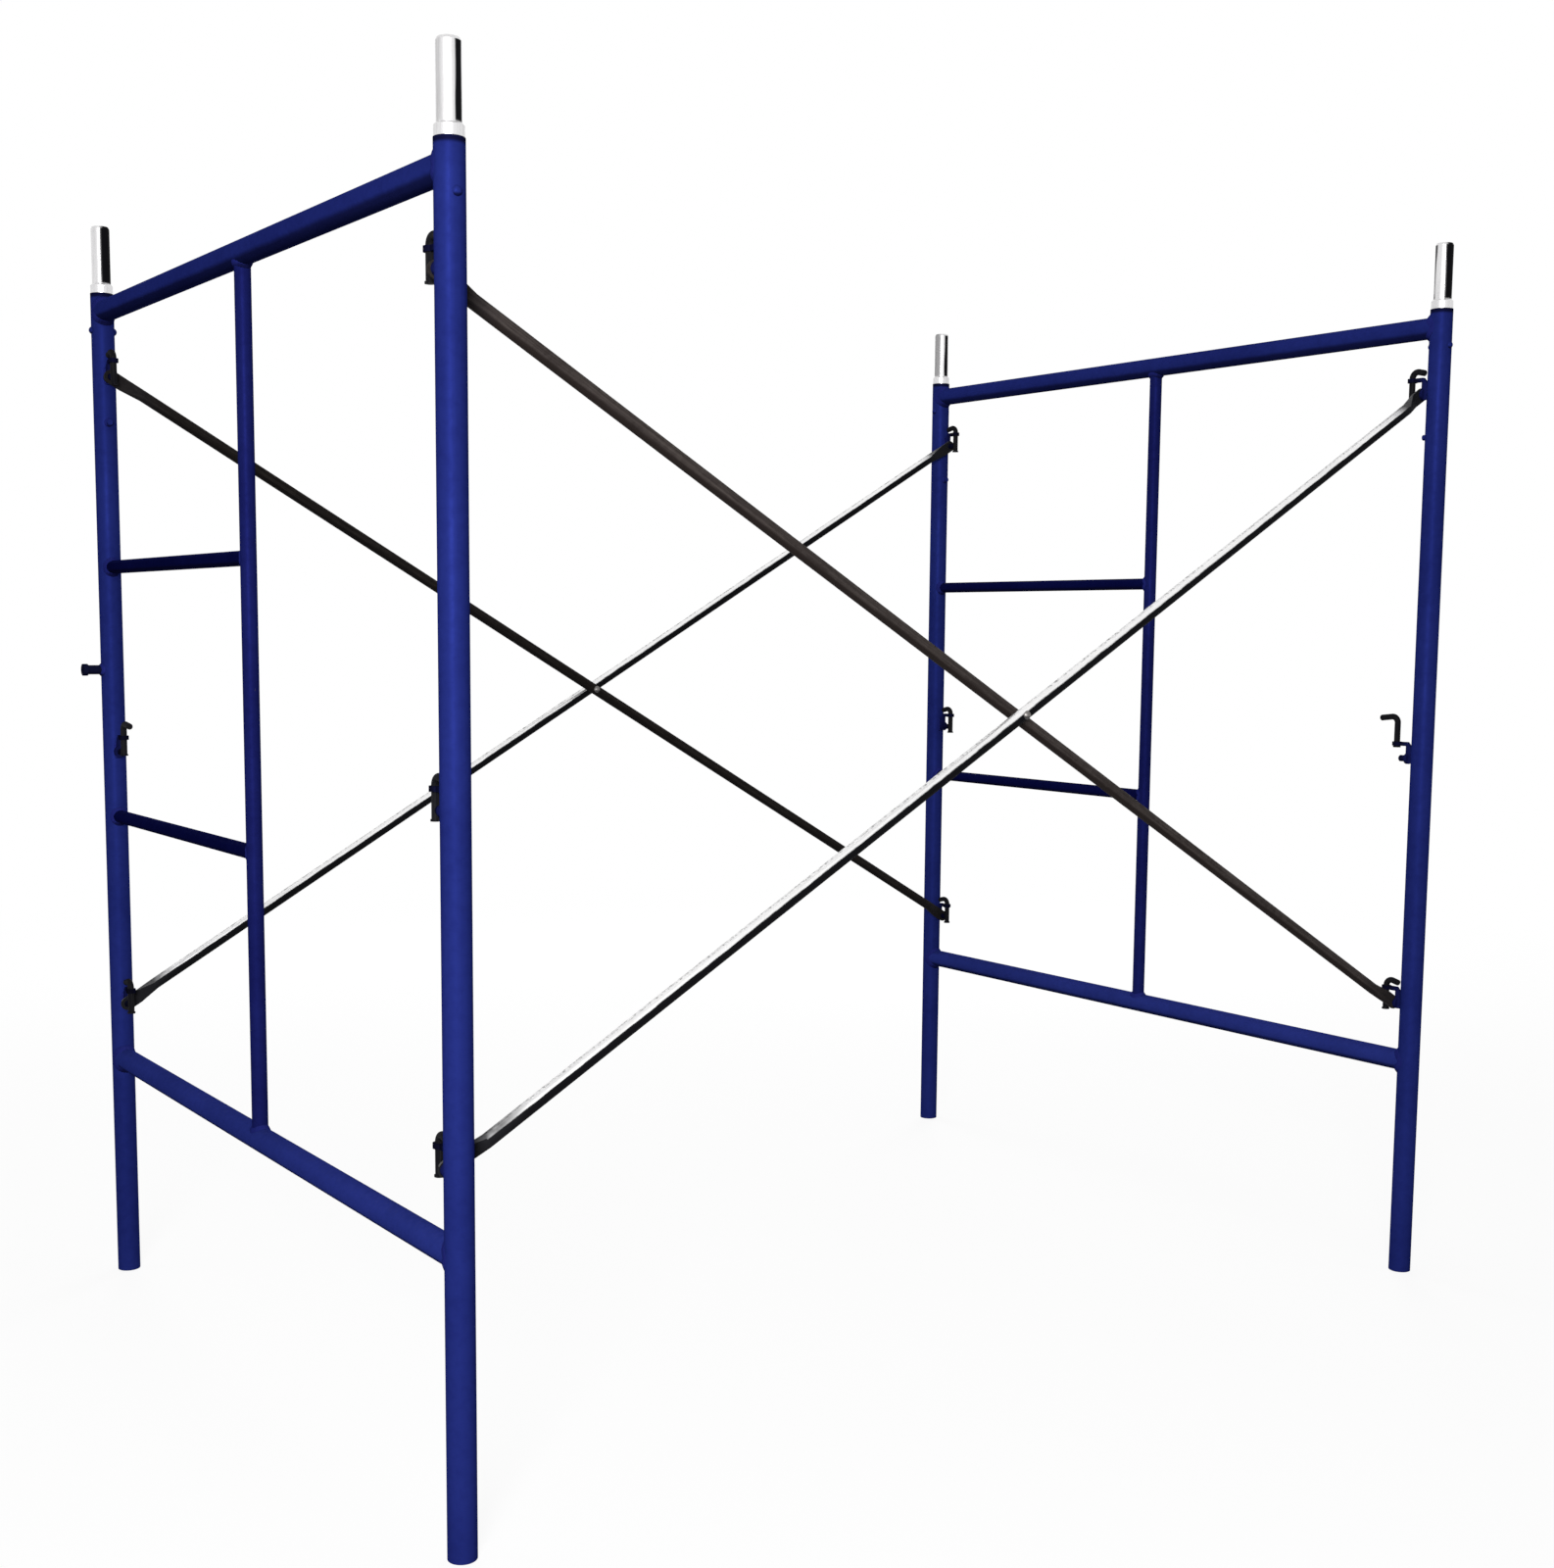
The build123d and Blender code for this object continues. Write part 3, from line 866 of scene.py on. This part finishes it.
def filletRing(centre, mainWay, branchWay, mainRadius, branchRadius, reach, seed):
    # The seam of a tube butted square onto another: round the branch by an angle, at the height
    # where the main tube's circle lies under it. At each place a bowed line runs from the main
    # tube's wall to the branch's wall, and one point inside both closes the section. Its size
    # swells once for each drop of weld.
    facts = filletWeld
    random = np.random.default_rng(seed)
    around = 2 * math.pi * branchRadius
    count = max(facts["alongLeast"], int(around / facts["alongPitch"]))
    angle = np.linspace(0, 2 * math.pi, count, endpoint=False)
    sideWay = np.cross(branchWay, mainWay)
    branchNormal = np.cos(angle)[:, None] * sideWay + np.sin(angle)[:, None] * mainWay
    rise = np.sqrt(mainRadius**2 - (branchRadius * np.cos(angle)) ** 2)
    seam = centre + branchRadius * branchNormal + rise[:, None] * branchWay
    mainNormal = unit((branchRadius * np.cos(angle))[:, None] * sideWay + rise[:, None] * branchWay)
    tangent = unit(np.roll(seam, -1, axis=0) - np.roll(seam, 1, axis=0))
    overMain = unit(np.cross(tangent, mainNormal))
    overMain *= np.sign(np.einsum("ij,ij->i", overMain, branchNormal))[:, None]
    overBranch = unit(np.cross(tangent, branchNormal))
    overBranch *= np.sign(np.einsum("ij,ij->i", overBranch, mainNormal))[:, None]
    drops = max(6, round(around / facts["ripplePitch"]))
    ripple = np.abs(np.sin(angle * drops / 2 + random.uniform(0, 3))) ** facts["ripplePower"]
    wobble = sum(np.sin(angle * k + random.uniform(0, 6)) * facts["wobble"] / k for k in facts["wobbleWaves"])
    size = (reach * (1 + wobble) * (1 - facts["swell"] + facts["swell"] * ripple))[:, None]

    def ontoTube(points, way, radius):
        along = ((points - centre) @ way)[:, None] * way
        return centre + along + unit(points - centre - along) * (radius - facts["sink"])

    foot = ontoTube(seam + size * overMain, mainWay, mainRadius)
    top = ontoTube(seam + size * overBranch, branchWay, branchRadius)
    bulge = (facts["crown"] + facts["rippleDepth"] * ripple)[:, None] * unit(mainNormal + branchNormal)
    middle = seam + facts["bow"] * size * (overMain + overBranch) + bulge
    share = np.linspace(0, 1, facts["acrossPoints"])[None, :, None]
    front = (1 - share) ** 2 * foot[:, None] + share**2 * top[:, None]
    front += 2 * share * (1 - share) * middle[:, None]
    inside = (seam - facts["inset"] * (mainNormal + branchNormal))[:, None]
    return np.concatenate([front, inside], axis=1)


gussetWeld = dict(
    halfWidth=0.0046,
    squareness=0.35,  # 1 is an ellipse, 0 a square
    bottom=0.0005,  # above the lock's lowest point
    top=0.0282,
    radius=0.0026,
    flatten=0.8,
    points=110,
    sectionPoints=10,
    ripplePitch=0.0034,
    ripplePower=0.7,
    swell=0.14,
)


def beadLoop(path, normal, seed):
    # a flattened circle carried round a closed path on a wall, which swells once for each drop of weld
    facts = gussetWeld
    random = np.random.default_rng(seed)
    tangent = unit(np.roll(path, -1, axis=0) - np.roll(path, 1, axis=0))
    beside = unit(np.cross(tangent, normal))
    length = np.linalg.norm(np.roll(path, -1, axis=0) - path, axis=1)
    run = np.concatenate([[0], np.cumsum(length)[:-1]])
    drops = max(6, round(length.sum() / facts["ripplePitch"]))
    phase = math.pi * drops * run / length.sum() + random.uniform(0, 3)
    ripple = np.abs(np.sin(phase)) ** facts["ripplePower"]
    size = (facts["radius"] * (1 - facts["swell"] + facts["swell"] * ripple))[:, None, None]
    angle = np.linspace(0, 2 * math.pi, facts["sectionPoints"], endpoint=False)[None, :, None]
    section = np.cos(angle) * beside[:, None] + facts["flatten"] * np.sin(angle) * normal[:, None]
    return path[:, None] + size * section


def gussetLoop(frameName, side, level, seed):
    # a rounded box on the leg's wall, round the root of the gusset
    facts = gussetWeld
    axis, turn = legAxis[frameName, side], inward[side]
    low, high = boxOf(f"{frameName}_{side}_{level}_lock")
    bottom, top = low[2] + facts["bottom"], low[2] + facts["top"]
    angle = np.linspace(0, 2 * math.pi, facts["points"], endpoint=False)

    def squared(wave):
        return np.sign(wave) * np.abs(wave) ** facts["squareness"]

    aside = facts["halfWidth"] * squared(np.cos(angle))
    up = (bottom + top) / 2 + (top - bottom) / 2 * squared(np.sin(angle))
    out = np.sqrt(legRadius**2 - aside**2)
    path = np.stack([axis[0] + aside, axis[1] + turn * out, up], axis=1)
    # evenly spaced along its length
    closed = np.vstack([path, path[:1]])
    run = np.concatenate([[0], np.cumsum(np.linalg.norm(np.diff(closed, axis=0), axis=1))])
    even = np.linspace(0, run[-1], facts["points"], endpoint=False)
    path = np.stack([np.interp(even, run, closed[:, k]) for k in range(3)], axis=1)
    radial = (path - axis) * (1, 1, 0)
    return beadLoop(path, unit(radial), seed)


# how far each kind of seam reaches from its corner
seamReach = dict(bar=0.0075, rungOnLeg=0.0062, rungOnPost=0.0055, postOnBar=0.0058, peg=0.0032, stub=0.0045)
stubRadius = 0.009
firstSeed = 10


def frameWelds():
    seed = firstSeed
    pegHeight, pegRadius = heightOf("leg_pegs"), halfSizeOf("leg_pegs")[2]
    stubHeight = heightOf("left_far_stub")
    for frameName in frameNames:
        ladderGrids = []
        post = centreOf(f"{frameName}_ladder_post") * (1, 1, 0)
        for side in sideNames:
            axis, way = legAxis[frameName, side], inward[side] * alongY
            bars = (f"{frameName}_{bar}" for bar in ("top_bar", "bottom_bar"))
            seams = [(heightOf(bar), way, barRadius, "bar") for bar in bars]
            seams.append((pegHeight, way, pegRadius, "peg"))
            if side == "far":
                reach = seamReach["rungOnPost"]
                for rung in ("lower_rung", "upper_rung"):
                    height = heightOf(f"{frameName}_{rung}")
                    seams.append((height, way, rungRadius, "rungOnLeg"))
                    seed += 1
                    place = post + height * alongZ
                    ladderGrids.append(filletRing(place, alongZ, alongY, postRadius, rungRadius, reach, seed))
            if (frameName, side) == ("left", "far"):
                seams.append((stubHeight, -alongX, stubRadius, "stub"))
            grids = []
            for height, branchWay, radius, kind in seams:
                seed += 1
                place = axis + height * alongZ
                grids.append(filletRing(place, alongZ, branchWay, legRadius, radius, seamReach[kind], seed))
            for level in levelNames:
                seed += 1
                grids.append(gussetLoop(frameName, side, level, seed))
            pieceFromGrids(f"{frameName}_{side}_leg_welds", grids, blueMaterials["blueWeld"])
        reach = seamReach["postOnBar"]
        for bar, way in (("bottom_bar", alongZ), ("top_bar", -alongZ)):
            seed += 1
            place = post + heightOf(f"{frameName}_{bar}") * alongZ
            ladderGrids.append(filletRing(place, alongY, way, barRadius, postRadius, reach, seed))
        pieceFromGrids(f"{frameName}_ladder_welds", ladderGrids, blueMaterials["blueWeld"])


frameWelds()
print("weld beads laid")

# floor, world and lamps
stageFacts = dict(
    floorRadius=9.0,
    floorPoints=96,
    floorDrop=0.0005,  # below the legs' ends
    floorAlbedo=0.30,
    paperWhite=0.92,
    paleShare=0.90,  # of plain white in the middle; the rest takes the object's shadow
    paleFrom=2.2,
    paleFull=6.0,
    worldFill=0.055,
    lamps=(
        # name, place, size, watts, aim height
        ("keyLamp", (-3.4, -3.9, 2.0), 1.6, 270.0, 1.0),
        ("topLamp", (0.0, 0.0, 5.2), 3.0, 50.0, 0.9),
        ("sideLamp", (3.6, -4.4, 2.4), 2.4, 18.0, 1.0),
        ("rightLamp", (4.4, 3.4, 2.2), 2.8, 150.0, 1.0),
        ("backLamp", (0.4, 5.4, 2.6), 2.8, 110.0, 1.0),
        ("leftLamp", (-4.8, 2.4, 2.2), 2.4, 26.0, 1.0),
    ),
)


def seenByEye(kit):
    # 1 for camera, glossy and transmission rays
    path = kit.node("ShaderNodeLightPath").outputs
    seen = kit.math("MAXIMUM", path["Is Camera Ray"], path["Is Glossy Ray"])
    return kit.math("MAXIMUM", seen, path["Is Transmission Ray"])


def makeWorld():
    world = bpy.data.worlds.new("paleRoom")
    bpy.context.scene.world = world
    world.use_nodes = True
    kit = NodeKit(world.node_tree)
    background = world.node_tree.nodes["Background"]
    background.inputs["Color"].default_value = rgb(1.0, 1.0, 1.0)
    kit.put(background.inputs["Strength"], kit.mixValue(seenByEye(kit), stageFacts["worldFill"], 1.0))


def makeFloor():
    facts = stageFacts
    angle = np.linspace(0, 2 * math.pi, facts["floorPoints"], endpoint=False)
    rim = np.stack([np.cos(angle), np.sin(angle), np.zeros_like(angle)], axis=1) * facts["floorRadius"]
    mesh = bpy.data.meshes.new("floor")
    mesh.from_pydata(rim.tolist(), [], [list(range(len(rim)))])
    floor = bpy.data.objects.new("floor", mesh)
    floor.location = (0, 0, -facts["floorDrop"])
    bpy.context.scene.collection.objects.link(floor)
    material = bpy.data.materials.new("floorPaper")
    material.use_nodes = True
    tree = material.node_tree
    kit = NodeKit(tree)
    tree.nodes.remove(tree.nodes["Principled BSDF"])
    place = kit.node("ShaderNodeTexCoord").outputs["Object"]
    far = kit.node("ShaderNodeVectorMath", {"operation": "LENGTH"}, Vector=place).outputs["Value"]
    pale = kit.ramp(far, facts["paleFrom"], facts["paleFull"], facts["paleShare"], 1.0)
    glow = kit.node("ShaderNodeEmission", None, Color=rgb(1.0, 1.0, 1.0), Strength=1.0).outputs[0]
    paper, plain = (
        kit.node("ShaderNodeBsdfDiffuse", None, Color=rgb(*[facts[key]] * 3)).outputs[0]
        for key in ("paperWhite", "floorAlbedo")
    )

    def mixShader(factor, first, second):
        made = tree.nodes.new("ShaderNodeMixShader")
        kit.put(made.inputs[0], factor)
        kit.put(made.inputs[1], first)
        kit.put(made.inputs[2], second)
        return made.outputs[0]

    surface = mixShader(seenByEye(kit), plain, mixShader(pale, paper, glow))
    kit.put(tree.nodes["Material Output"].inputs["Surface"], surface)
    mesh.materials.append(material)


def makeLamps():
    for name, place, size, watts, aimHeight in stageFacts["lamps"]:
        lampData = bpy.data.lights.new(name, "AREA")
        lampData.shape = "DISK"
        lampData.size = size
        lampData.energy = watts
        lamp = bpy.data.objects.new(name, lampData)
        aim = Vector((0, 0, aimHeight)) - Vector(place)
        lamp.matrix_world = Matrix.Translation(place) @ aim.to_track_quat("-Z", "Y").to_matrix().to_4x4()
        lamp.visible_camera = False
        lamp.visible_glossy = name == "keyLamp"  # only this one gives a highlight
        bpy.context.scene.collection.objects.link(lamp)


makeWorld()
makeFloor()
makeLamps()
bpy.context.scene.view_settings.view_transform = "Standard"
print("floor, world and lamps set")
